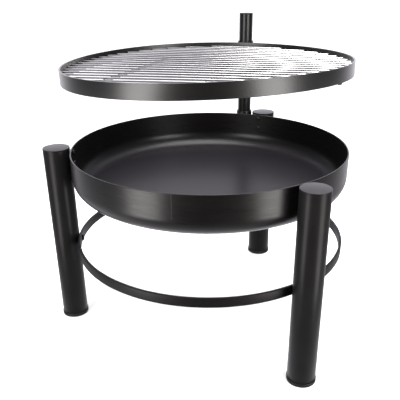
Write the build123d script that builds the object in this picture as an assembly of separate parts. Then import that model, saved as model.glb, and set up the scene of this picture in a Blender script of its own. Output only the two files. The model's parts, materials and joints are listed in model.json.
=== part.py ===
from build123d import *
import math
import os

# Fire pit with a swing-away cooking grate, in millimetres.
# Frame: the origin is on the floor below the bowl's axis, +Z is up and the front is -Y.

# bowl
BOWL_RADIUS = 300.0
BOWL_WALL = 3.0
BOWL_RIM_Z = 415.0
BOWL_BASE_Z = 327.0
BOWL_KNUCKLE = 39.0

# legs
LEG_AZIMUTHS = {"right": -56.0, "rear": 64.0, "left": 184.0}
LEG_RADIUS = 29.0
LEG_WALL = 2.0
LEG_TOP_Z = 417.5
LEG_DISC = 3.0
LEG_GAP = 3.0
LEG_CIRCLE = BOWL_RADIUS + LEG_GAP + LEG_RADIUS

# foot caps
FOOT_RADIUS = 30.3
FOOT_HEIGHT = 8.0
FOOT_FLOOR = 3.0
FOOT_FIT = 0.05

# lower ring, a flat bar rolled on edge
RING_OUTER = BOWL_RADIUS + LEG_GAP
RING_BAR = 6.0
RING_HEIGHT = 20.0
RING_BASE_Z = 189.5

# M6 bolts that hold the bowl, two at each leg
BOWL_BOLT_LEVELS = (381.0, 406.0)
M6_RADIUS = 3.0
M6_HEAD_RADIUS = 5.25
M6_HEAD_HEIGHT = 3.3
M6_LENGTH = 16.0
M6_NUT_RADIUS = 4.5
M6_NUT_LENGTH = 14.0
M6_FLANGE_RADIUS = 6.5
WASHER_RADIUS = 7.0
WASHER_THICKNESS = 1.5

# M8 bolts that hold the lower ring, one at each leg
M8_RADIUS = 4.0
M8_HEAD_RADIUS = 7.0
M8_HEAD_HEIGHT = 4.4
M8_LENGTH = 20.0
M8_NUT_RADIUS = 5.5
M8_NUT_LENGTH = 16.0

HOLE_PLAY = 0.3
THREAD_PLAY = 0.05
FACE_PLAY = 0.15

# pole and its socket
POLE_AZIMUTH = 72.8
POLE_CIRCLE = 321.0
POLE_RADIUS = 16.85
POLE_WALL = 2.6
POLE_TOP_Z = 665.5
POLE_CAP_RIM = 2.0
POLE_CAP_SPIGOT = 14.0
SOCKET_RADIUS = 20.0
SOCKET_BORE = 17.15
SOCKET_TOP_Z = 420.0
SOCKET_BASE_Z = 240.0
SOCKET_FLOOR = 3.0
DRAIN_RADIUS = 4.0
BRACKET_HALF_WIDTH = 15.0
BRACKET_HEIGHT = 40.0
BRACKET_LEVELS = {"upper": 370.0, "lower": 262.0}

# cooking grate, which sags a little to the left of its arm
GRATE_RADIUS = 299.2
GRATE_BAR = 4.0
GRATE_HEIGHT = 28.0
GRATE_TOP_Z = 597.4
GRATE_LEAN = -1.5
LEAN_AZIMUTH = 61.0
ARM_AZIMUTH = 71.8
WIRE_AZIMUTH = -20.5
WIRE_RADIUS = 2.0
WIRE_PITCH = 28.0
WIRES_EACH_SIDE = 10
WIRE_DROP = 10.0
CROSS_BAR_RADIUS = 3.0
CROSS_BAR_OFFSETS = {"left": -129.0, "right": 73.0}
WELD_GAP = 0.1

# grate sleeve and its clamp screw
SLEEVE_RADIUS = 20.0
SLEEVE_BORE = 17.15
SLEEVE_TOP_Z = 599.0
SLEEVE_LENGTH = 50.0
CLAMP_NUT_FLATS = 13.0
CLAMP_NUT_LENGTH = 8.0
CLAMP_RADIUS = 4.0
CLAMP_LENGTH = 34.0
CLAMP_HEAD_RADIUS = 7.0
CLAMP_HEAD_LENGTH = 11.0
PAD_RADIUS = 3.6
PAD_THICKNESS = 1.6
HANDLE_RADIUS = 3.0
HANDLE_LENGTH = 52.0


def polar(radius, azimuth, z=0.0):
    angle = math.radians(azimuth)
    return Vector(radius * math.cos(angle), radius * math.sin(angle), z)


def rod(radius, length, plane):
    """A solid cylinder that starts on the plane and runs along its normal."""
    return extrude(plane * Circle(radius), length)


def tube(outer, inner, length, plane):
    return extrude(plane * (Circle(outer) - Circle(inner)), length)


def outward(azimuth, z, distance, centre=Vector(0, 0, 0)):
    """A plane that faces away from a vertical axis, at a distance from it."""
    direction = polar(1.0, azimuth)
    return Plane(origin=centre + direction * distance + Vector(0, 0, z), z_dir=direction)


def floor_plane(centre, z):
    return Plane(origin=(centre.X, centre.Y, z))


def leg_centre(side):
    return polar(LEG_CIRCLE, LEG_AZIMUTHS[side])


POLE_CENTRE = polar(POLE_CIRCLE, POLE_AZIMUTH)
GRATE_CENTRE = POLE_CENTRE - polar(GRATE_RADIUS + SLEEVE_RADIUS, ARM_AZIMUTH)


def fire_bowl():
    inner = BOWL_RADIUS - BOWL_WALL
    floor_z = BOWL_BASE_Z + BOWL_WALL
    bend = BOWL_RADIUS - BOWL_KNUCKLE
    bend_z = BOWL_BASE_Z + BOWL_KNUCKLE
    diagonal = math.sqrt(0.5)
    inner_bend = BOWL_KNUCKLE - BOWL_WALL
    outer_mid = (bend + BOWL_KNUCKLE * diagonal, 0, bend_z - BOWL_KNUCKLE * diagonal)
    inner_mid = (bend + inner_bend * diagonal, 0, bend_z - inner_bend * diagonal)
    outline = [
        Line((0, 0, BOWL_BASE_Z), (bend, 0, BOWL_BASE_Z)),
        ThreePointArc((bend, 0, BOWL_BASE_Z), outer_mid, (BOWL_RADIUS, 0, bend_z)),
        Line((BOWL_RADIUS, 0, bend_z), (BOWL_RADIUS, 0, BOWL_RIM_Z)),
        Line((BOWL_RADIUS, 0, BOWL_RIM_Z), (inner, 0, BOWL_RIM_Z)),
        Line((inner, 0, BOWL_RIM_Z), (inner, 0, bend_z)),
        ThreePointArc((inner, 0, bend_z), inner_mid, (bend, 0, floor_z)),
        Line((bend, 0, floor_z), (0, 0, floor_z)),
        Line((0, 0, floor_z), (0, 0, BOWL_BASE_Z)),
    ]
    bowl = revolve(make_face(outline), Axis.Z, 360)
    for azimuth in LEG_AZIMUTHS.values():
        for z in BOWL_BOLT_LEVELS:
            bowl -= rod(M6_RADIUS + HOLE_PLAY, 20, outward(azimuth, z, inner - 8))
    return bowl


def leg_tube(side):
    azimuth = LEG_AZIMUTHS[side]
    length = LEG_TOP_Z - LEG_DISC - FOOT_FLOOR
    leg = tube(LEG_RADIUS, LEG_RADIUS - LEG_WALL, length, floor_plane(leg_centre(side), FOOT_FLOOR))
    for z in BOWL_BOLT_LEVELS:
        leg -= rod(M6_NUT_RADIUS + THREAD_PLAY, 12, outward(azimuth, z, LEG_CIRCLE - LEG_RADIUS - 2))
    ring_z = RING_BASE_Z + RING_HEIGHT / 2
    leg -= rod(M8_NUT_RADIUS + THREAD_PLAY, 12, outward(azimuth, ring_z, LEG_CIRCLE - LEG_RADIUS - 2))
    return leg


def leg_top(side):
    disc = rod(LEG_RADIUS, LEG_DISC, floor_plane(leg_centre(side), LEG_TOP_Z - LEG_DISC))
    return chamfer(disc.edges().group_by(Axis.Z)[-1], 0.6)


def foot_cap(side):
    cup = rod(FOOT_RADIUS, FOOT_HEIGHT, floor_plane(leg_centre(side), 0))
    cup = fillet(cup.edges().group_by(Axis.Z)[-1], 0.8)
    seat = LEG_RADIUS + FOOT_FIT
    return cup - rod(seat, FOOT_HEIGHT, floor_plane(leg_centre(side), FOOT_FLOOR))


def lower_ring():
    ring = tube(RING_OUTER - THREAD_PLAY, RING_OUTER - RING_BAR, RING_HEIGHT, Plane.XY.offset(RING_BASE_Z))
    for azimuth in LEG_AZIMUTHS.values():
        middle = RING_BASE_Z + RING_HEIGHT / 2
        ring -= rod(M8_RADIUS + HOLE_PLAY, 24, outward(azimuth, middle, RING_OUTER - 15))
    return ring


def button_bolt(radius, head_radius, head_height, length, plane):
    """A domed bolt whose head sits behind the plane and whose shank runs along its normal."""
    head_plane = Plane(origin=plane.origin - plane.z_dir * head_height, z_dir=plane.z_dir)
    head = rod(head_radius, head_height, head_plane)
    head = fillet(head.edges().sort_by(Axis(plane.origin, plane.z_dir))[0], head_height * 0.7)
    socket = extrude(head_plane * RegularPolygon(radius * 0.62, 6), head_height * 0.5)
    return head - socket + rod(radius, length, plane)


def each_leg(levels):
    return [(azimuth, z) for azimuth in LEG_AZIMUTHS.values() for z in levels]


def bowl_bolts():
    seat = BOWL_RADIUS - BOWL_WALL - FACE_PLAY
    return [
        button_bolt(M6_RADIUS, M6_HEAD_RADIUS, M6_HEAD_HEIGHT, M6_LENGTH, outward(azimuth, z, seat))
        for azimuth, z in each_leg(BOWL_BOLT_LEVELS)
    ]


def bowl_washers():
    return [
        tube(WASHER_RADIUS, M6_RADIUS + HOLE_PLAY, WASHER_THICKNESS, outward(azimuth, z, BOWL_RADIUS))
        for azimuth, z in each_leg(BOWL_BOLT_LEVELS)
    ]


def rivet_nut(bolt_radius, body_radius, length, plane):
    return tube(body_radius, bolt_radius + THREAD_PLAY, length, plane)


def bowl_rivet_nuts():
    nuts = []
    for azimuth, z in each_leg(BOWL_BOLT_LEVELS):
        face = BOWL_RADIUS + WASHER_THICKNESS
        body = rivet_nut(M6_RADIUS, M6_NUT_RADIUS, M6_NUT_LENGTH, outward(azimuth, z, face))
        flange = LEG_GAP - WASHER_THICKNESS
        bore = M6_RADIUS + THREAD_PLAY
        body += tube(M6_FLANGE_RADIUS, bore, flange, outward(azimuth, z, face))
        bulge_face = LEG_CIRCLE - LEG_RADIUS + LEG_WALL + 0.8
        body += tube(M6_NUT_RADIUS + 1.0, bore, 3.5, outward(azimuth, z, bulge_face))
        nuts.append(body)
    return nuts


def ring_bolts():
    seat = RING_OUTER - RING_BAR - FACE_PLAY
    middle = RING_BASE_Z + RING_HEIGHT / 2
    return [
        button_bolt(M8_RADIUS, M8_HEAD_RADIUS, M8_HEAD_HEIGHT, M8_LENGTH, outward(azimuth, middle, seat))
        for azimuth in LEG_AZIMUTHS.values()
    ]


def ring_rivet_nuts():
    nuts = []
    middle = RING_BASE_Z + RING_HEIGHT / 2
    for azimuth in LEG_AZIMUTHS.values():
        face = LEG_CIRCLE - LEG_RADIUS + FACE_PLAY
        body = rivet_nut(M8_RADIUS, M8_NUT_RADIUS, M8_NUT_LENGTH, outward(azimuth, middle, face))
        bulge_face = LEG_CIRCLE - LEG_RADIUS + LEG_WALL + 1.2
        bore = M8_RADIUS + THREAD_PLAY
        body += tube(M8_NUT_RADIUS + 1.2, bore, 4.0, outward(azimuth, middle, bulge_face))
        nuts.append(body)
    return nuts


def pole_socket():
    length = SOCKET_TOP_Z - SOCKET_BASE_Z
    socket = tube(SOCKET_RADIUS, SOCKET_BORE, length, floor_plane(POLE_CENTRE, SOCKET_BASE_Z))
    inner_rim = socket.edges().group_by(Axis.Z)[-1].sort_by(SortBy.RADIUS)[0]
    return chamfer(inner_rim, 0.8)


def socket_floor():
    base = SOCKET_BASE_Z - SOCKET_FLOOR
    return tube(SOCKET_RADIUS, DRAIN_RADIUS, SOCKET_FLOOR, floor_plane(POLE_CENTRE, base))


def socket_bracket(level):
    """A web plate between the rear leg and the socket, hollowed to fit both tubes."""
    leg = leg_centre("rear")
    span = POLE_CENTRE - leg
    middle = leg + span.normalized() * (LEG_RADIUS + span.length - SOCKET_RADIUS) / 2
    turn = math.degrees(math.atan2(span.Y, span.X))
    z = BRACKET_LEVELS[level]
    plate = Box(span.length / 2, 2 * BRACKET_HALF_WIDTH, BRACKET_HEIGHT)
    plate = Pos(middle.X, middle.Y, z) * Rot(0, 0, turn) * plate
    plate -= rod(LEG_RADIUS + WELD_GAP, BRACKET_HEIGHT, floor_plane(leg, z - BRACKET_HEIGHT / 2))
    return plate - rod(SOCKET_RADIUS + WELD_GAP, BRACKET_HEIGHT, floor_plane(POLE_CENTRE, z - BRACKET_HEIGHT / 2))


def pole_tube():
    length = POLE_TOP_Z - POLE_CAP_RIM - SOCKET_BASE_Z
    return tube(POLE_RADIUS, POLE_RADIUS - POLE_WALL, length, floor_plane(POLE_CENTRE, SOCKET_BASE_Z))


def pole_cap():
    rim = rod(POLE_RADIUS, POLE_CAP_RIM, floor_plane(POLE_CENTRE, POLE_TOP_Z - POLE_CAP_RIM))
    rim = fillet(rim.edges().group_by(Axis.Z)[-1], 0.6)
    spigot_z = POLE_TOP_Z - POLE_CAP_RIM - POLE_CAP_SPIGOT
    spigot = rod(POLE_RADIUS - POLE_WALL - THREAD_PLAY, POLE_CAP_SPIGOT, floor_plane(POLE_CENTRE, spigot_z))
    return rim + spigot


def lean(shape):
    """Tips a grate piece, drawn level about the origin, to its sagging side and puts it in place."""
    tipped = shape.rotate(Axis((0, 0, 0), polar(1.0, LEAN_AZIMUTH)), GRATE_LEAN)
    return Pos(GRATE_CENTRE.X, GRATE_CENTRE.Y, GRATE_TOP_Z) * tipped


def grate_band():
    band = tube(GRATE_RADIUS, GRATE_RADIUS - GRATE_BAR, GRATE_HEIGHT, Plane.XY.offset(-GRATE_HEIGHT))
    return lean(band)


def grate_rod(radius, azimuth, offset, drop):
    """A round rod across the band, at an offset to the left of its own direction."""
    reach = GRATE_RADIUS - GRATE_BAR - WELD_GAP
    half = math.sqrt(reach * reach - (abs(offset) + radius) ** 2)
    side = polar(offset, azimuth + 90)
    start = side - polar(half, azimuth) - Vector(0, 0, drop)
    return rod(radius, 2 * half, Plane(origin=start, z_dir=polar(1.0, azimuth)))


def grate_wires():
    steps = range(-WIRES_EACH_SIDE, WIRES_EACH_SIDE + 1)
    return [lean(grate_rod(WIRE_RADIUS, WIRE_AZIMUTH, step * WIRE_PITCH, WIRE_DROP)) for step in steps]


def grate_cross_bar(side):
    drop = WIRE_DROP + WIRE_RADIUS + WELD_GAP + CROSS_BAR_RADIUS
    offset = -CROSS_BAR_OFFSETS[side]
    return lean(grate_rod(CROSS_BAR_RADIUS, WIRE_AZIMUTH + 90, offset, drop))


def clamp_plane(distance):
    z = SLEEVE_TOP_Z - SLEEVE_LENGTH / 2
    return outward(ARM_AZIMUTH, z, distance, POLE_CENTRE)


def grate_sleeve():
    base = SLEEVE_TOP_Z - SLEEVE_LENGTH
    sleeve = tube(SLEEVE_RADIUS - WELD_GAP, SLEEVE_BORE, SLEEVE_LENGTH, floor_plane(POLE_CENTRE, base))
    return sleeve - rod(CLAMP_RADIUS + HOLE_PLAY, 2 * SLEEVE_RADIUS, clamp_plane(0))


def clamp_nut():
    face = clamp_plane(SLEEVE_RADIUS - 1.0)
    across_corners = CLAMP_NUT_FLATS / math.sqrt(3)
    blank = extrude(face * RegularPolygon(across_corners, 6), CLAMP_NUT_LENGTH + 1.0)
    blank -= rod(SLEEVE_RADIUS, SLEEVE_LENGTH, floor_plane(POLE_CENTRE, SLEEVE_TOP_Z - SLEEVE_LENGTH))
    return blank - rod(CLAMP_RADIUS + THREAD_PLAY, CLAMP_LENGTH, face)


def clamp_pad():
    return rod(PAD_RADIUS, PAD_THICKNESS, clamp_plane(POLE_RADIUS + FACE_PLAY))


def clamp_screw():
    tip = POLE_RADIUS + FACE_PLAY + PAD_THICKNESS
    stem = rod(CLAMP_RADIUS, CLAMP_LENGTH, clamp_plane(tip))
    head_start = tip + CLAMP_LENGTH
    head = rod(CLAMP_HEAD_RADIUS, CLAMP_HEAD_LENGTH, clamp_plane(head_start))
    screw = stem + head
    middle = head_start + CLAMP_HEAD_LENGTH / 2
    return screw - handle_rod(HANDLE_RADIUS + THREAD_PLAY, 3 * CLAMP_HEAD_RADIUS, middle)


def handle_rod(radius, length, distance):
    centre = clamp_plane(distance).origin
    across = polar(1.0, ARM_AZIMUTH + 90)
    return rod(radius, length, Plane(origin=centre - across * length / 2, z_dir=across))


def clamp_handle():
    distance = POLE_RADIUS + FACE_PLAY + PAD_THICKNESS + CLAMP_LENGTH + CLAMP_HEAD_LENGTH / 2
    bar = handle_rod(HANDLE_RADIUS, HANDLE_LENGTH, distance)
    return fillet(bar.edges(), 1.0)


def all_parts():
    parts = {
        "fire_bowl": fire_bowl(),
        "bowl_bolts": bowl_bolts(),
        "bowl_washers": bowl_washers(),
        "bowl_rivet_nuts": bowl_rivet_nuts(),
        "lower_ring": lower_ring(),
        "ring_bolts": ring_bolts(),
        "ring_rivet_nuts": ring_rivet_nuts(),
        "pole_socket": pole_socket(),
        "socket_floor": socket_floor(),
        "pole_tube": pole_tube(),
        "pole_cap": pole_cap(),
        "grate_band": grate_band(),
        "grate_wires": grate_wires(),
        "grate_sleeve": grate_sleeve(),
        "clamp_nut": clamp_nut(),
        "clamp_screw": clamp_screw(),
        "clamp_handle": clamp_handle(),
        "clamp_pad": clamp_pad(),
    }
    for side in LEG_AZIMUTHS:
        parts["leg_tube_" + side] = leg_tube(side)
        parts["leg_top_" + side] = leg_top(side)
        parts["foot_cap_" + side] = foot_cap(side)
    for level in BRACKET_LEVELS:
        parts["socket_bracket_" + level] = socket_bracket(level)
    for side in CROSS_BAR_OFFSETS:
        parts["grate_bar_" + side] = grate_cross_bar(side)
    return parts


os.makedirs("parts", exist_ok=True)
for node, shape in all_parts().items():
    solid = Compound(children=shape) if isinstance(shape, list) else shape
    export_step(solid, "parts/" + node + ".step")
print("pole axis", POLE_CENTRE)
print("grate centre", GRATE_CENTRE)
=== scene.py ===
import bmesh
import bpy
import json
import math
import random
from mathutils import Matrix, Quaternion, Vector


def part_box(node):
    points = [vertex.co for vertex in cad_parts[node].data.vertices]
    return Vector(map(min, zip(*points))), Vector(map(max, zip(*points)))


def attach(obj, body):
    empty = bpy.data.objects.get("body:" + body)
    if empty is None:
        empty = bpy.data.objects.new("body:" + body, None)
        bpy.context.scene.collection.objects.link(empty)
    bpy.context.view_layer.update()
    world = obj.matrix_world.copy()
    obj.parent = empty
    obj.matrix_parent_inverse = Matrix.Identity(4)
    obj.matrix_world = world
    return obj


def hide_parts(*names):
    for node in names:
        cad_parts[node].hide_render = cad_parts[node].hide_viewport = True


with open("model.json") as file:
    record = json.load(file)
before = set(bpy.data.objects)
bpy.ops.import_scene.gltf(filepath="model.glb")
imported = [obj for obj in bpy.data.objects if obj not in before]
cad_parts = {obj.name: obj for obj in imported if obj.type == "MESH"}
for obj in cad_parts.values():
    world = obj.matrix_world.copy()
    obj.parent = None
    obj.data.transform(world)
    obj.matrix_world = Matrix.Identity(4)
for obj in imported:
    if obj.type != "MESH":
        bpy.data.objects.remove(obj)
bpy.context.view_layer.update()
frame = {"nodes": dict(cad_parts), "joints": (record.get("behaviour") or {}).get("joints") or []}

MM = 0.001
SIDES = ("left", "right", "rear")
rng = random.Random(11)


# ---------------------------------------------------------------- sizes
# Read from the frame where a box or a joint gives them. Walls, bars and wires are given here.


def middle(node):
    low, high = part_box(node)
    return (low + high) / 2


def span(node):
    low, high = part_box(node)
    return high - low


def joint(name):
    return next(j for j in frame["joints"] if j["name"] == name)


BOWL_RADIUS = span("fire_bowl").x / 2
BOWL_WALL = 3.0 * MM
BOWL_KNUCKLE = 39.0 * MM
BOWL_EDGE = 0.9 * MM
BOWL_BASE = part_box("fire_bowl")[0].z
BOWL_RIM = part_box("fire_bowl")[1].z

LEG_RADIUS = span("leg_tube_left").x / 2
LEG_WALL = 2.0 * MM
LEG_CUT = 0.2 * MM
DISC_EDGE = 0.9 * MM
LEG_AT = {side: middle("leg_tube_" + side).to_2d() for side in SIDES}
LEG_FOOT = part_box("leg_tube_left")[0].z
LEG_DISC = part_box("leg_top_left")[0].z
LEG_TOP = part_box("leg_top_left")[1].z
FOOT_RADIUS = span("foot_cap_left").x / 2
FOOT_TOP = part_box("foot_cap_left")[1].z

RING_RADIUS = span("lower_ring").x / 2
RING_BAR = 6.0 * MM
RING_EDGE = 0.7 * MM
RING_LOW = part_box("lower_ring")[0].z
RING_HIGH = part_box("lower_ring")[1].z

POLE_AT = middle("pole_tube").to_2d()
POLE_RADIUS = span("pole_tube").x / 2
POLE_WALL = 2.6 * MM
POLE_CUT = 0.2 * MM
CAP_EDGE = 0.8 * MM
POLE_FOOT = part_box("pole_tube")[0].z
POLE_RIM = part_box("pole_tube")[1].z
POLE_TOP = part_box("pole_cap")[1].z
SOCKET_RADIUS = span("pole_socket").x / 2
SOCKET_BORE = 17.15 * MM
SOCKET_EDGE = 0.6 * MM
SOCKET_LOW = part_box("pole_socket")[0].z
SOCKET_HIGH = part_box("pole_socket")[1].z

SLEEVE_RADIUS = span("grate_sleeve").x / 2

ARM = Vector(joint("clamp_feed")["axis"]).normalized()
GRATE_RADIUS = 299.2 * MM
GRATE_BAR = 4.0 * MM
GRATE_HEIGHT = 28.0 * MM
GRATE_EDGE = 0.5 * MM
GRATE_LEAN = math.radians(-1.5)
LEAN_AZIMUTH = 61.0
GRATE_AT = POLE_AT - ARM.to_2d() * (GRATE_RADIUS + SLEEVE_RADIUS)
GRATE_TOP = middle("grate_band").z + GRATE_HEIGHT / 2 * math.cos(GRATE_LEAN)
# The grate is a little out of flat: its height also goes with twice the angle around it.
TWIST_COS = -2.42 * MM
TWIST_SIN = -1.79 * MM
WIRE_AZIMUTH = -20.5
WIRE_RADIUS = 2.0 * MM
WIRE_PITCH = 28.0 * MM
WIRES_EACH_SIDE = 10
WIRE_DROP = 10.0 * MM
CROSS_BAR_RADIUS = 3.0 * MM
CROSS_BAR_OFFSETS = {"left": -129.0 * MM, "right": 73.0 * MM}
BRACKET_HALF = 15.0 * MM

# seams and welds
SEAM_AZIMUTH = -102.7
SEAM_HALF_WIDTH = 0.9 * MM
SEAM_BURIED = 0.15 * MM
RING_WELD_AZIMUTH = -31.5
BAND_WELD_AZIMUTH = -37.5
SLEEVE_BEAD_ASIDE = 8.5 * MM
SLEEVE_BEAD = 2.0 * MM
BRACKET_BEAD = 1.6 * MM
BEAD_INSET = 2.0 * MM
BEAD_SPANS = 6
BEAD_RIPPLE = 0.16


# ---------------------------------------------------------------- mesh helpers


SHARP_ANGLE = math.radians(35)
CAD_SHARP_ANGLE = math.radians(32)


def unit(azimuth):
    angle = math.radians(azimuth)
    return Vector((math.cos(angle), math.sin(angle), 0.0))


def finish_mesh(name, bm, body, material):
    """Makes a visible piece that rides on a body, with sharp edges kept sharp."""
    bmesh.ops.recalc_face_normals(bm, faces=bm.faces)
    mesh = bpy.data.meshes.new(name)
    bm.to_mesh(mesh)
    bm.free()
    piece = bpy.data.objects.new(name, mesh)
    bpy.context.scene.collection.objects.link(piece)
    for face in mesh.polygons:
        face.use_smooth = True
    mesh.set_sharp_from_angle(angle=SHARP_ANGLE)
    mesh.materials.append(material)
    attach(piece, body)
    return piece


def rounded(points, radii, steps=6):
    """An outline whose corners are arcs. Each corner has its own radius, and 0 keeps it sharp."""
    outline = []
    count = len(points)
    for i, corner in enumerate(points):
        radius = radii[i]
        here = Vector(corner)
        if radius == 0:
            outline.append(here)
            continue
        before = (Vector(points[i - 1]) - here).normalized()
        after = (Vector(points[(i + 1) % count]) - here).normalized()
        half = before.angle(after) / 2
        back = radius / math.tan(half)
        centre = here + (before + after).normalized() * radius / math.sin(half)
        start = here + before * back - centre
        end = here + after * back - centre
        sweep = start.angle_signed(end)
        turns = max(2, round(steps * abs(sweep) / (math.pi / 2)))
        for k in range(turns + 1):
            turn = Matrix.Rotation(-sweep * k / turns, 2)
            outline.append(centre + turn @ start)
    return outline


def add_lathe(bm, outline, at, around=192, bend=None):
    """Turns a closed outline of (radius, height) about a vertical axis. Points on the axis close it."""
    loops = []
    for radius, height in outline:
        if radius < 1e-7:
            loops.append([bm.verts.new((at.x, at.y, height))])
            continue
        loop = []
        for k in range(around):
            direction = unit(360 * k / around)
            point = Vector((at.x, at.y, height)) + direction * radius
            loop.append(bm.verts.new(bend(point) if bend else point))
        loops.append(loop)
    on_axis = len(loops[0]) == 1 and len(loops[-1]) == 1
    for i in range(len(loops) - 1 if on_axis else len(loops)):
        join_loops(bm, loops[i], loops[(i + 1) % len(loops)])


def join_loops(bm, a, b):
    count = max(len(a), len(b))
    for k in range(count):
        n = (k + 1) % count
        if len(a) == 1:
            bm.faces.new((a[0], b[k], b[n]))
        elif len(b) == 1:
            bm.faces.new((a[k], a[n], b[0]))
        else:
            bm.faces.new((a[k], a[n], b[n], b[k]))


def add_tube(bm, path, radii, around=20, squash=1.0, up=Vector((0, 0, 1))):
    """A closed round tube along a path of points, with a radius at each."""
    loops = []
    for i, point in enumerate(path):
        ahead = path[min(i + 1, len(path) - 1)] - path[max(i - 1, 0)]
        ahead.normalize()
        side = ahead.cross(up)
        if side.length < 1e-6:
            side = ahead.orthogonal()
        side.normalize()
        over = side.cross(ahead).normalized() * squash
        loop = []
        for k in range(around):
            angle = 2 * math.pi * k / around
            offset = (side * math.cos(angle) + over * math.sin(angle)) * radii[i]
            loop.append(bm.verts.new(point + offset))
        loops.append(loop)
    for a, b in zip(loops, loops[1:]):
        join_loops(bm, a, b)
    bm.faces.new(loops[0])
    bm.faces.new(loops[-1])


def rod_path(start, end, steps, bend):
    return [bend(start.lerp(end, k / steps)) for k in range(steps + 1)]


def rod_radii(count, radius):
    """A rod's radius at each point of its path, with its two ends softened."""
    radii = [radius] * count
    radii[0] = radius * 0.86
    radii[-1] = radius * 0.86
    return radii


def add_bead(bm, path, radius, squash, up):
    """A weld bead: a flattened tube whose width ripples as the weld puddle moved along."""
    fine = []
    for a, b in zip(path, path[1:]):
        steps = max(2, round((b - a).length / (radius * 0.3)))
        fine += [a.lerp(b, k / steps) for k in range(steps)]
    fine.append(path[-1])
    radii = []
    last = len(fine) - 1
    for k in range(len(fine)):
        end_taper = min(1.0, 0.35 + 0.5 * min(k, last - k))
        wave = 1 + BEAD_RIPPLE * math.sin(k * 1.3) + rng.uniform(-0.06, 0.06)
        radii.append(radius * wave * end_taper)
    add_tube(bm, fine, radii, around=12, squash=squash, up=up)


def upright(foot, low, high):
    """The path of a bead that climbs from low to high above its foot, clear of both edges."""
    climb = high - low - 2 * BEAD_INSET
    return [foot + Vector((0, 0, low + BEAD_INSET + climb * k / BEAD_SPANS)) for k in range(BEAD_SPANS + 1)]


def add_nugget(bm, at, radius, flat=0.7):
    """A small lump of weld metal."""
    made = bmesh.ops.create_icosphere(bm, subdivisions=2, radius=radius)
    for vert in made["verts"]:
        swell = 1 + rng.uniform(-0.12, 0.12)
        co = vert.co * swell
        vert.co = at + Vector((co.x, co.y, co.z * flat))


# ---------------------------------------------------------------- materials


def new_material(name):
    material = bpy.data.materials.new(name)
    material.use_nodes = True
    tree = material.node_tree
    shader = tree.nodes["Principled BSDF"]
    return material, tree, shader


def stretched(tree, azimuth=0.0, scale=(1, 1, 1)):
    """Object coordinates turned to an azimuth and scaled, for grain that runs one way."""
    coords = tree.nodes.new("ShaderNodeTexCoord")
    mapping = tree.nodes.new("ShaderNodeMapping")
    mapping.vector_type = "TEXTURE"
    mapping.inputs["Rotation"].default_value = (0, 0, math.radians(azimuth))
    mapping.inputs["Scale"].default_value = [1 / s for s in scale]
    tree.links.new(coords.outputs["Object"], mapping.inputs["Vector"])
    return mapping.outputs["Vector"]


def noise(tree, vector, size, detail=2.0, roughness=0.5):
    made = tree.nodes.new("ShaderNodeTexNoise")
    made.inputs["Scale"].default_value = 1 / size
    made.inputs["Detail"].default_value = detail
    made.inputs["Roughness"].default_value = roughness
    tree.links.new(vector, made.inputs["Vector"])
    return made.outputs["Fac"]


def ranged(tree, value, low, high, from_low=0.3, from_high=0.7):
    made = tree.nodes.new("ShaderNodeMapRange")
    made.inputs["From Min"].default_value = from_low
    made.inputs["From Max"].default_value = from_high
    made.inputs["To Min"].default_value = low
    made.inputs["To Max"].default_value = high
    tree.links.new(value, made.inputs["Value"])
    return made.outputs["Result"]


def joined(tree, operation, a, b):
    made = tree.nodes.new("ShaderNodeMath")
    made.operation = operation
    tree.links.new(a, made.inputs[0])
    tree.links.new(b, made.inputs[1])
    return made.outputs["Value"]


def two_tone(tree, value, dark, light):
    made = tree.nodes.new("ShaderNodeValToRGB")
    made.color_ramp.elements[0].position = 0.3
    made.color_ramp.elements[1].position = 0.7
    made.color_ramp.elements[0].color = (*dark, 1)
    made.color_ramp.elements[1].color = (*light, 1)
    tree.links.new(value, made.inputs["Fac"])
    return made.outputs["Color"]


def add_bump(tree, shader, height, depth, under=None):
    made = tree.nodes.new("ShaderNodeBump")
    made.inputs["Distance"].default_value = depth
    made.inputs["Strength"].default_value = 1.0
    tree.links.new(height, made.inputs["Height"])
    if under:
        tree.links.new(under, made.inputs["Normal"])
    tree.links.new(made.outputs["Normal"], shader.inputs["Normal"])
    return made.outputs["Normal"]


PAINT_CLOUD = 60 * MM
PAINT_SMEAR = 24 * MM
PAINT_PEEL = 4.5 * MM
PAINT_PEEL_DEPTH = 0.012 * MM
PAINT_GRAIN = 0.9 * MM
PAINT_GRAIN_DEPTH = 0.008 * MM
SPUN_PITCH = 1.6 * MM


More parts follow.
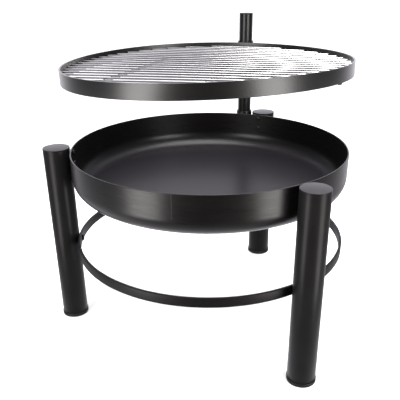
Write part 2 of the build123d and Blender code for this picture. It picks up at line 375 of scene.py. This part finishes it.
def black_paint(name, tone, gloss, specular, painted_top_light, spun=0.0):
    """Satin black coat: faint cloudiness, a painted paler light on faces that look up, and a fine powder
    grain.

    Where spun is set, upright faces also carry the faint level lines of a spun or rolled wall.
    """
    material, tree, shader = new_material(name)
    vector = stretched(tree)
    cloud = noise(tree, vector, PAINT_CLOUD, 4.0)
    dark = [c * 0.85 for c in tone]
    light = [c * 1.2 for c in tone]
    coat = two_tone(tree, cloud, dark, light)
    geometry = tree.nodes.new("ShaderNodeNewGeometry")
    split = tree.nodes.new("ShaderNodeSeparateXYZ")
    tree.links.new(geometry.outputs["Normal"], split.inputs["Vector"])
    # Painted light: faces that look up are mixed towards a paler colour, as if lit from above.
    upward = ranged(tree, split.outputs["Z"], 0.0, 1.0, 0.3, 1.0)
    mix = tree.nodes.new("ShaderNodeMix")
    mix.data_type = "RGBA"
    tree.links.new(upward, mix.inputs["Factor"])
    tree.links.new(coat, mix.inputs["A"])
    mix.inputs["B"].default_value = (*painted_top_light, 1)
    tree.links.new(mix.outputs["Result"], shader.inputs["Base Color"])
    smear = noise(tree, vector, PAINT_SMEAR, 5.0, 0.6)
    shine = ranged(tree, smear, gloss - 0.004, gloss + 0.004)
    if spun:
        rings = noise(tree, stretched(tree, 0, (0.02, 0.02, 1)), SPUN_PITCH, 3.0, 0.7)
        rings = ranged(tree, rings, -spun, spun)
        standing = ranged(tree, split.outputs["Z"], 1.0, 0.0, 0.05, 0.4)
        shine = joined(tree, "ADD", shine, joined(tree, "MULTIPLY", rings, standing))
    tree.links.new(shine, shader.inputs["Roughness"])
    shader.inputs["Specular IOR Level"].default_value = specular
    skin = add_bump(tree, shader, noise(tree, vector, PAINT_PEEL, 1.0), PAINT_PEEL_DEPTH)
    add_bump(tree, shader, noise(tree, vector, PAINT_GRAIN, 2.0), PAINT_GRAIN_DEPTH, under=skin)
    return material


def chrome_wire(name, azimuth):
    """Bright plated wire with drawing lines along it and slight hazing."""
    material, tree, shader = new_material(name)
    along = stretched(tree, azimuth, (0.02, 1, 1))
    vector = stretched(tree)
    haze = noise(tree, vector, 30 * MM, 4.0)
    tone = two_tone(tree, haze, (0.52, 0.52, 0.525), (0.60, 0.60, 0.605))
    tree.links.new(tone, shader.inputs["Base Color"])
    shader.inputs["Metallic"].default_value = 1.0
    tree.links.new(ranged(tree, haze, 0.27, 0.33), shader.inputs["Roughness"])
    add_bump(tree, shader, noise(tree, along, 0.5 * MM, 2.0), 0.003 * MM)
    return material


def weld_metal(name):
    """Weld under the same black coat, rougher and more broken than the sheet around it."""
    material, tree, shader = new_material(name)
    vector = stretched(tree)
    spatter = noise(tree, vector, 2.2 * MM, 3.0)
    tone = two_tone(tree, spatter, (0.006, 0.006, 0.006), (0.014, 0.014, 0.015))
    tree.links.new(tone, shader.inputs["Base Color"])
    tree.links.new(ranged(tree, spatter, 0.38, 0.52), shader.inputs["Roughness"])
    shader.inputs["Specular IOR Level"].default_value = 0.25
    add_bump(tree, shader, noise(tree, vector, 0.9 * MM, 3.0), 0.06 * MM)
    return material


def black_plastic(name):
    """Moulded plastic of the foot caps and the pole's cap, with a fine eroded texture."""
    material, tree, shader = new_material(name)
    vector = stretched(tree)
    speck = noise(tree, vector, 0.6 * MM, 2.0)
    cloud = noise(tree, vector, 18 * MM, 3.0)
    tone = two_tone(tree, cloud, (0.003, 0.003, 0.003), (0.005, 0.005, 0.005))
    tree.links.new(tone, shader.inputs["Base Color"])
    tree.links.new(ranged(tree, cloud, 0.48, 0.58), shader.inputs["Roughness"])
    shader.inputs["Specular IOR Level"].default_value = 0.15
    add_bump(tree, shader, speck, 0.02 * MM)
    return material


def plated_steel(name, tone, gloss):
    """Bare or plated metal with a slight cloudiness and a fine rolled grain."""
    material, tree, shader = new_material(name)
    vector = stretched(tree)
    cloud = noise(tree, vector, 5 * MM, 4.0)
    light = [min(1.0, c * 1.15) for c in tone]
    tree.links.new(two_tone(tree, cloud, tone, light), shader.inputs["Base Color"])
    shader.inputs["Metallic"].default_value = 1.0
    tree.links.new(ranged(tree, cloud, gloss - 0.05, gloss + 0.08), shader.inputs["Roughness"])
    add_bump(tree, shader, noise(tree, vector, 0.5 * MM, 2.0), 0.01 * MM)
    return material


PAINT_TONE = (0.0017, 0.0015, 0.0014)
LEG_TONE = (0.004, 0.0038, 0.0038)
# Paler colours painted onto faces that look up: painted light from above.
BOWL_PAINTED_TOP_LIGHT = (0.0065, 0.0060, 0.0074)
LEG_PAINTED_TOP_LIGHT = (0.026, 0.025, 0.028)
PAINT = {
    "bowl_paint": black_paint("bowl_paint", PAINT_TONE, 0.31, 0.185, BOWL_PAINTED_TOP_LIGHT, spun=0.05),
    "leg_paint": black_paint("leg_paint", LEG_TONE, 0.32, 0.065, LEG_PAINTED_TOP_LIGHT),
    "ring_paint": black_paint("ring_paint", PAINT_TONE, 0.45, 0.12, BOWL_PAINTED_TOP_LIGHT),
    "pole_paint": black_paint("pole_paint", PAINT_TONE, 0.32, 0.26, BOWL_PAINTED_TOP_LIGHT),
    "grate_paint": black_paint("grate_paint", PAINT_TONE, 0.32, 0.36, BOWL_PAINTED_TOP_LIGHT),
}
WELD = weld_metal("painted_weld")
CHROME = chrome_wire("chrome_wire", WIRE_AZIMUTH)
BAR_CHROME = chrome_wire("chrome_bar", WIRE_AZIMUTH + 90)
PLASTIC = black_plastic("moulded_plastic")
BLACK_OXIDE = plated_steel("black_oxide_steel", (0.022, 0.022, 0.023), 0.42)
BURNT_STEEL = plated_steel("burnt_steel", (0.10, 0.10, 0.10), 0.45)
ZINC = plated_steel("zinc_plate", (0.24, 0.245, 0.255), 0.34)
BRASS = plated_steel("turned_brass", (0.52, 0.36, 0.13), 0.28)


# ---------------------------------------------------------------- the bowl


def make_bowl():
    inner = BOWL_RADIUS - BOWL_WALL
    floor = BOWL_BASE + BOWL_WALL
    corners = [
        (0, BOWL_BASE),
        (BOWL_RADIUS, BOWL_BASE),
        (BOWL_RADIUS, BOWL_RIM),
        (inner, BOWL_RIM),
        (inner, floor),
        (0, floor),
    ]
    radii = [0, BOWL_KNUCKLE, BOWL_EDGE, BOWL_EDGE, BOWL_KNUCKLE - BOWL_WALL, 0]
    outline = rounded(corners, radii, steps=14)
    bm = bmesh.new()
    add_lathe(bm, outline, Vector((0, 0)), around=288)
    bowl = finish_mesh("bowl_shell", bm, "stand", PAINT["bowl_paint"])
    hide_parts("fire_bowl")

    bm = bmesh.new()
    wall = unit(SEAM_AZIMUTH) * (BOWL_RADIUS - SEAM_BURIED)
    low = BOWL_BASE + BOWL_KNUCKLE
    path = [wall + Vector((0, 0, low + (BOWL_RIM - MM - low) * k / 60)) for k in range(61)]
    radii = [SEAM_HALF_WIDTH * (1 + rng.uniform(-0.1, 0.1)) for _ in path]
    add_tube(bm, path, radii, around=12, squash=0.4, up=unit(SEAM_AZIMUTH))
    finish_mesh("bowl_seam", bm, "stand", PAINT["bowl_paint"])


# ---------------------------------------------------------------- legs and lower ring


def ring_outline(outer, inner, low, high, edge, steps=4):
    corners = [(outer, low), (outer, high), (inner, high), (inner, low)]
    return rounded(corners, [edge] * 4, steps)


def make_leg(side):
    at = LEG_AT[side]
    bm = bmesh.new()
    outline = ring_outline(LEG_RADIUS, LEG_RADIUS - LEG_WALL, LEG_FOOT, LEG_DISC, LEG_CUT, 2)
    add_lathe(bm, outline, at, around=96)
    tube = finish_mesh("leg_" + side, bm, "stand", PAINT["leg_paint"])
    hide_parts("leg_tube_" + side)

    bm = bmesh.new()
    corners = [(0, LEG_DISC), (LEG_RADIUS, LEG_DISC), (LEG_RADIUS, LEG_TOP), (0, LEG_TOP)]
    add_lathe(bm, rounded(corners, [0, LEG_CUT, DISC_EDGE, 0]), at, around=96)
    disc = finish_mesh("leg_disc_" + side, bm, "stand", PAINT["leg_paint"])
    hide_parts("leg_top_" + side)

    bm = bmesh.new()
    wall = LEG_RADIUS + 0.05 * MM
    corners = [
        (0, 0),
        (FOOT_RADIUS, 0),
        (FOOT_RADIUS, FOOT_TOP),
        (wall, FOOT_TOP),
        (wall, LEG_FOOT),
        (0, LEG_FOOT),
    ]
    radii = [0, 1.2 * MM, 0.5 * MM, 0.3 * MM, 0, 0]
    add_lathe(bm, rounded(corners, radii), at, around=96)
    foot = finish_mesh("foot_" + side, bm, "stand", PLASTIC)
    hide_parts("foot_cap_" + side)


def make_lower_ring():
    bm = bmesh.new()
    outline = ring_outline(RING_RADIUS, RING_RADIUS - RING_BAR, RING_LOW, RING_HIGH, RING_EDGE)
    add_lathe(bm, outline, Vector((0, 0)), around=288)
    ring = finish_mesh("ring_bar", bm, "stand", PAINT["ring_paint"])
    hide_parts("lower_ring")

    bm = bmesh.new()
    for step in range(5):
        spot = unit(RING_WELD_AZIMUTH + 0.7 * step) * (RING_RADIUS - RING_BAR / 2)
        spot.z = RING_HIGH - 0.6 * MM
        add_nugget(bm, spot, rng.uniform(2.6, 3.2) * MM, 0.55)
    finish_mesh("ring_weld", bm, "stand", WELD)


# ---------------------------------------------------------------- pole and socket


def make_tube(name, cad_node, body, slot, at, outer, inner, low, high, edge):
    bm = bmesh.new()
    add_lathe(bm, ring_outline(outer, inner, low, high, edge), at, around=80)
    piece = finish_mesh(name, bm, body, PAINT[slot])
    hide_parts(cad_node)
    return piece


def make_pole():
    inner = POLE_RADIUS - POLE_WALL
    make_tube(
        "pole_pipe", "pole_tube", "pole", "pole_paint",
        POLE_AT, POLE_RADIUS, inner, POLE_FOOT, POLE_RIM, POLE_CUT,
    )
    make_tube(
        "socket_pipe", "pole_socket", "stand", "pole_paint",
        POLE_AT, SOCKET_RADIUS, SOCKET_BORE, SOCKET_LOW, SOCKET_HIGH, SOCKET_EDGE,
    )
    bm = bmesh.new()
    spigot = inner - 0.05 * MM
    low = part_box("pole_cap")[0].z
    corners = [
        (0, low),
        (spigot, low),
        (spigot, POLE_RIM),
        (POLE_RADIUS, POLE_RIM),
        (POLE_RADIUS, POLE_TOP),
        (0, POLE_TOP),
    ]
    radii = [0, CAP_EDGE, 0, POLE_CUT, CAP_EDGE, 0]
    add_lathe(bm, rounded(corners, radii), POLE_AT, around=80)
    cap = finish_mesh("pole_top", bm, "pole", PLASTIC)
    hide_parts("pole_cap")


def make_bracket_welds():
    """Beads up both sides of each bracket, where it meets the rear leg and where it meets the socket."""
    bm = bmesh.new()
    reach = (POLE_AT - LEG_AT["rear"]).to_3d().normalized()
    aside = reach.cross(Vector((0, 0, 1)))
    ends = ((LEG_AT["rear"].to_3d(), reach, LEG_RADIUS), (POLE_AT.to_3d(), -reach, SOCKET_RADIUS))
    for bracket in ("socket_bracket_upper", "socket_bracket_lower"):
        low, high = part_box(bracket)
        for centre, outward, radius in ends:
            for sign in (-1, 1):
                half = BRACKET_HALF + 0.6 * MM
                reach_out = math.sqrt((radius + 0.5 * MM) ** 2 - half * half)
                foot = centre + outward * reach_out + aside * sign * half
                add_bead(bm, upright(foot, low.z, high.z), BRACKET_BEAD, squash=0.9, up=outward)
    finish_mesh("bracket_weld", bm, "stand", WELD)


# ---------------------------------------------------------------- cooking grate


LEAN_TURN = Matrix.Rotation(GRATE_LEAN, 3, unit(LEAN_AZIMUTH))
GRATE_ORIGIN = Vector((GRATE_AT.x, GRATE_AT.y, GRATE_TOP))


def sag(point):
    """Takes a point of the flat grate to its real place: twisted a little, and leaning."""
    x = point.x / GRATE_RADIUS
    y = point.y / GRATE_RADIUS
    twist = TWIST_COS * (x * x - y * y) + TWIST_SIN * 2 * x * y
    return GRATE_ORIGIN + LEAN_TURN @ (point + Vector((0, 0, twist)))


def make_band():
    bm = bmesh.new()
    outline = ring_outline(GRATE_RADIUS, GRATE_RADIUS - GRATE_BAR, -GRATE_HEIGHT, 0, GRATE_EDGE)
    add_lathe(bm, outline, Vector((0, 0)), around=288, bend=sag)
    band = finish_mesh("band", bm, "grate", PAINT["grate_paint"])
    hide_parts("grate_band")

    bm = bmesh.new()
    for step in range(4):
        spot = unit(BAND_WELD_AZIMUTH + 0.5 * step) * (GRATE_RADIUS - GRATE_BAR / 2)
        spot.z = -GRATE_HEIGHT - 0.4 * MM
        add_nugget(bm, sag(spot), rng.uniform(2.0, 2.6) * MM, 1.0)
    finish_mesh("band_weld", bm, "grate", WELD)

    bm = bmesh.new()
    arm = ARM.to_2d().to_3d().normalized()
    aside = arm.cross(Vector((0, 0, 1)))
    for sign in (-1, 1):
        foot = arm * (GRATE_RADIUS + 0.9 * MM) + aside * sign * SLEEVE_BEAD_ASIDE
        path = [sag(point) for point in upright(foot, -GRATE_HEIGHT, 0)]
        add_bead(bm, path, SLEEVE_BEAD, squash=0.8, up=arm)
    finish_mesh("sleeve_weld", bm, "grate", WELD)


def rod_ends(azimuth, offset, radius, drop):
    """Where a rod that crosses the band starts and ends, in the flat grate."""
    reach = GRATE_RADIUS - GRATE_BAR - 0.1 * MM
    half = math.sqrt(reach * reach - offset * offset) - radius * abs(offset) / reach
    side = unit(azimuth + 90) * offset - Vector((0, 0, drop))
    along = unit(azimuth) * half
    return side - along, side + along


def make_wires():
    bm = bmesh.new()
    welds = bmesh.new()
    bar_drop = WIRE_DROP + WIRE_RADIUS
    for step in range(-WIRES_EACH_SIDE, WIRES_EACH_SIDE + 1):
        offset = step * WIRE_PITCH
        start, end = rod_ends(WIRE_AZIMUTH, offset, WIRE_RADIUS, WIRE_DROP)
        path = rod_path(start, end, 24, sag)
        add_tube(bm, path, rod_radii(len(path), WIRE_RADIUS), around=16)
        for point in (start, end):
            add_nugget(welds, sag(point), WIRE_RADIUS * 1.15, 0.8)
        for bar_offset in CROSS_BAR_OFFSETS.values():
            spot = unit(WIRE_AZIMUTH) * bar_offset + unit(WIRE_AZIMUTH + 90) * offset
            if spot.length < GRATE_RADIUS - GRATE_BAR:
                spot.z = -bar_drop
                add_nugget(welds, sag(spot), WIRE_RADIUS * 0.95, 0.6)
    wires = finish_mesh("wires", bm, "grate", CHROME)
    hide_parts("grate_wires")
    finish_mesh("wire_welds", welds, "grate", BURNT_STEEL)


def make_cross_bars():
    for side, offset in CROSS_BAR_OFFSETS.items():
        bm = bmesh.new()
        drop = WIRE_DROP + WIRE_RADIUS + CROSS_BAR_RADIUS
        start, end = rod_ends(WIRE_AZIMUTH + 90, -offset, CROSS_BAR_RADIUS, drop)
        path = rod_path(start, end, 24, sag)
        add_tube(bm, path, rod_radii(len(path), CROSS_BAR_RADIUS), around=20)
        bar = finish_mesh("cross_bar_" + side, bm, "grate", BAR_CHROME)
        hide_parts("grate_bar_" + side)


# ---------------------------------------------------------------- CAD nodes that stay


def dress(cad_node, material):
    """Gives a CAD node that stays visible its material and smooth shading."""
    piece = frame["nodes"][cad_node]
    piece.data.materials.clear()
    piece.data.materials.append(material)
    for face in piece.data.polygons:
        face.use_smooth = True
        face.material_index = 0
    piece.data.set_sharp_from_angle(angle=CAD_SHARP_ANGLE)


DRESSED = {
    "bowl_bolts": BLACK_OXIDE,
    "ring_bolts": BLACK_OXIDE,
    "bowl_washers": ZINC,
    "bowl_rivet_nuts": ZINC,
    "ring_rivet_nuts": ZINC,
    "clamp_screw": ZINC,
    "clamp_handle": ZINC,
    "clamp_pad": BRASS,
    "socket_floor": PAINT["pole_paint"],
    "socket_bracket_upper": PAINT["pole_paint"],
    "socket_bracket_lower": PAINT["pole_paint"],
    "grate_sleeve": PAINT["grate_paint"],
    "clamp_nut": PAINT["grate_paint"],
}


# ---------------------------------------------------------------- studio


FLOOR_RADIUS = 21
FLOOR_DROP = 0.1 * MM
DOME_RADIUS = 20
DOME_DROP = 1


def stage_piece(name, bm, material):
    """Makes a piece of the studio, which belongs to no body."""
    mesh = bpy.data.meshes.new(name)
    bm.to_mesh(mesh)
    bm.free()
    mesh.materials.append(material)
    piece = bpy.data.objects.new(name, mesh)
    bpy.context.scene.collection.objects.link(piece)
    return piece


def make_floor():
    """A wide white floor that the gloss of the object does not see and that casts no shadow."""
    material, tree, shader = new_material("studio_floor")
    cloud = noise(tree, stretched(tree), 1.5, 2.0)
    tone = two_tone(tree, cloud, (0.86, 0.86, 0.86), (0.88, 0.88, 0.88))
    tree.links.new(tone, shader.inputs["Base Color"])
    shader.inputs["Roughness"].default_value = 0.9
    shader.inputs["Specular IOR Level"].default_value = 0.1
    bm = bmesh.new()
    centre = Vector((0, 0, -FLOOR_DROP))
    bm.faces.new([bm.verts.new(unit(5 * k) * FLOOR_RADIUS + centre) for k in range(72)])
    floor = stage_piece("studio_floor", bm, material)
    floor.visible_glossy = False
    floor.visible_shadow = False


def make_backdrop():
    """A plain pale dome for the camera alone. It neither lights the object nor shows in its gloss."""
    material = bpy.data.materials.new("studio_backdrop")
    material.use_nodes = True
    tree = material.node_tree
    tree.nodes.clear()
    glow = tree.nodes.new("ShaderNodeEmission")
    output = tree.nodes.new("ShaderNodeOutputMaterial")
    cloud = noise(tree, stretched(tree), 8.0, 2.0)
    tone = two_tone(tree, cloud, (0.99, 0.99, 0.99), (1.0, 1.0, 1.0))
    tree.links.new(tone, glow.inputs["Color"])
    tree.links.new(glow.outputs["Emission"], output.inputs["Surface"])
    material.cycles.emission_sampling = "NONE"
    bm = bmesh.new()
    outline = [(0, -DOME_DROP)]
    for degrees in range(0, 90, 10):
        point = unit(degrees) * DOME_RADIUS
        outline.append((point.x, point.y - DOME_DROP))
    outline.append((0, DOME_RADIUS - DOME_DROP))
    add_lathe(bm, outline, Vector((0, 0)), around=72)
    dome = stage_piece("studio_backdrop", bm, material)
    dome.visible_diffuse = False
    dome.visible_glossy = False
    dome.visible_shadow = False
    dome.visible_transmission = False


LIGHT_COLOUR = (1.0, 0.975, 0.955)
SIDE_BOX_OUT = 1.02
SIDE_BOX_FRONT = -1.05
SIDE_BOX_HEIGHT = 0.42
SIDE_BOX_SIZE = (0.6, 1.8)
SIDE_BOX_POWER = 50
SIDE_BOX_LEAN = 9
TOP_BOX_AT = (0.15, 0.1, 1.8)
TOP_BOX_AIM = (0.15, 0.1, 0)
TOP_BOX_SIZE = (0.9, 1.0)
TOP_BOX_POWER = 40
OVERHEAD_STRENGTH = 3.0
BRIGHT_WIRES = ("wires", "wire_welds", "cross_bar_left", "cross_bar_right")


def softbox(name, at, aim, size, power, lean=0.0, shields=()):
    """A rectangular light, leaning sideways. It does not light the pieces named in shields."""
    light = bpy.data.lights.new(name, "AREA")
    light.shape = "RECTANGLE"
    light.size, light.size_y = size
    light.energy = power
    light.color = LIGHT_COLOUR
    holder = bpy.data.objects.new(name, light)
    holder.location = at
    holder.rotation_mode = "QUATERNION"
    facing = (Vector(aim) - Vector(at)).to_track_quat("-Z", "Y")
    holder.rotation_quaternion = facing @ Quaternion((0, 0, 1), math.radians(lean))
    holder.visible_camera = False
    bpy.context.scene.collection.objects.link(holder)
    if shields:
        skipped = bpy.data.collections.new(name + "_skips")
        for piece in shields:
            skipped.objects.link(bpy.data.objects[piece])
        for entry in skipped.collection_objects:
            entry.light_linking.link_state = "EXCLUDE"
        holder.light_linking.receiver_collection = skipped


def overhead(name, strength):
    """A very wide, shadowless fill from above, which keeps the floor white."""
    light = bpy.data.lights.new(name, "SUN")
    light.angle = math.radians(120)
    light.energy = strength
    light.use_shadow = False
    holder = bpy.data.objects.new(name, light)
    holder.visible_glossy = False
    bpy.context.scene.collection.objects.link(holder)


WORLD_COLOUR = (1.0, 0.97, 1.04)


def world_fade(tree, value, start, end, low, high):
    """Goes smoothly from low to high as the value goes from start to end."""
    made = tree.nodes.new("ShaderNodeMapRange")
    made.interpolation_type = "SMOOTHSTEP"
    made.inputs["From Min"].default_value = start
    made.inputs["From Max"].default_value = end
    made.inputs["To Min"].default_value = low
    made.inputs["To Max"].default_value = high
    tree.links.new(value, made.inputs["Value"])
    return made.outputs["Result"]


def make_world():
    """A room that is dim towards the camera and below, with a bright backdrop behind the object."""
    world = bpy.data.worlds.new("studio")
    world.use_nodes = True
    tree = world.node_tree
    background = tree.nodes["Background"]
    background.inputs["Color"].default_value = (*WORLD_COLOUR, 1)
    coords = tree.nodes.new("ShaderNodeTexCoord")
    split = tree.nodes.new("ShaderNodeSeparateXYZ")
    tree.links.new(coords.outputs["Generated"], split.inputs["Vector"])
    depth = split.outputs["Y"]
    height = split.outputs["Z"]
    room = world_fade(tree, depth, -0.9, 0.1, 0.04, 0.36)
    bounce = world_fade(tree, height, -0.9, -0.1, 3.8, 1.0)
    room = joined(tree, "MULTIPLY", room, bounce)
    backdrop = world_fade(tree, depth, 0.35, 0.95, 0.0, 1.6)
    foot = world_fade(tree, height, -0.45, -0.1, 0.1, 1.0)
    backdrop = joined(tree, "MULTIPLY", backdrop, foot)
    light = joined(tree, "ADD", room, backdrop)
    above = world_fade(tree, height, 0.22, 0.42, 1.2, 0.4)
    zenith = world_fade(tree, height, 0.5, 0.85, 1.0, 7.0)
    light = joined(tree, "MULTIPLY", light, above)
    light = joined(tree, "MULTIPLY", light, zenith)
    tree.links.new(light, background.inputs["Strength"])
    bpy.context.scene.world = world


CAMERA_AT = (0, -1.1702, 0.7632)
CAMERA_DOWN = math.radians(24.48)
CAMERA_YAW = math.radians(-0.251)
CAMERA_ROLL = math.radians(-0.387)
CAMERA_SENSOR = 36.0
CAMERA_LENS = 49.49
CAMERA_SHIFT = (-0.0184, 0.0524)
CAMERA_REACH = 200


def make_camera():
    """The camera looks slightly down on the front, with a small turn and roll."""
    data = bpy.data.cameras.new("camera")
    data.sensor_width = CAMERA_SENSOR
    data.lens = CAMERA_LENS
    data.shift_x, data.shift_y = CAMERA_SHIFT
    data.clip_end = CAMERA_REACH
    camera = bpy.data.objects.new("camera", data)
    camera.location = CAMERA_AT
    ahead = Vector((math.sin(CAMERA_YAW), math.cos(CAMERA_YAW), 0))
    forward = ahead * math.cos(CAMERA_DOWN) - Vector((0, 0, math.sin(CAMERA_DOWN)))
    level = Vector((math.cos(CAMERA_YAW), -math.sin(CAMERA_YAW), 0))
    above = level.cross(forward)
    right = level * math.cos(CAMERA_ROLL) + above * math.sin(CAMERA_ROLL)
    up = -level * math.sin(CAMERA_ROLL) + above * math.cos(CAMERA_ROLL)
    turn = Matrix((right, up, -forward)).transposed()
    camera.rotation_mode = "QUATERNION"
    camera.rotation_quaternion = turn.to_quaternion()
    bpy.context.scene.collection.objects.link(camera)
    bpy.context.scene.camera = camera


# ---------------------------------------------------------------- the scene


make_bowl()
for side in SIDES:
    make_leg(side)
make_lower_ring()
make_pole()
make_bracket_welds()
make_band()
make_wires()
make_cross_bars()
for cad_node, material in DRESSED.items():
    dress(cad_node, material)

make_floor()
make_backdrop()
make_world()
overhead("overhead_fill", OVERHEAD_STRENGTH)
for name, sign in (("softbox_left", -1), ("softbox_right", 1)):
    at = (sign * SIDE_BOX_OUT, SIDE_BOX_FRONT, SIDE_BOX_HEIGHT)
    aim = (0, 0, SIDE_BOX_HEIGHT)
    softbox(name, at, aim, SIDE_BOX_SIZE, SIDE_BOX_POWER, sign * SIDE_BOX_LEAN, BRIGHT_WIRES)
softbox("softbox_top", TOP_BOX_AT, TOP_BOX_AIM, TOP_BOX_SIZE, TOP_BOX_POWER)
make_camera()
bpy.context.scene.view_settings.view_transform = "Standard"
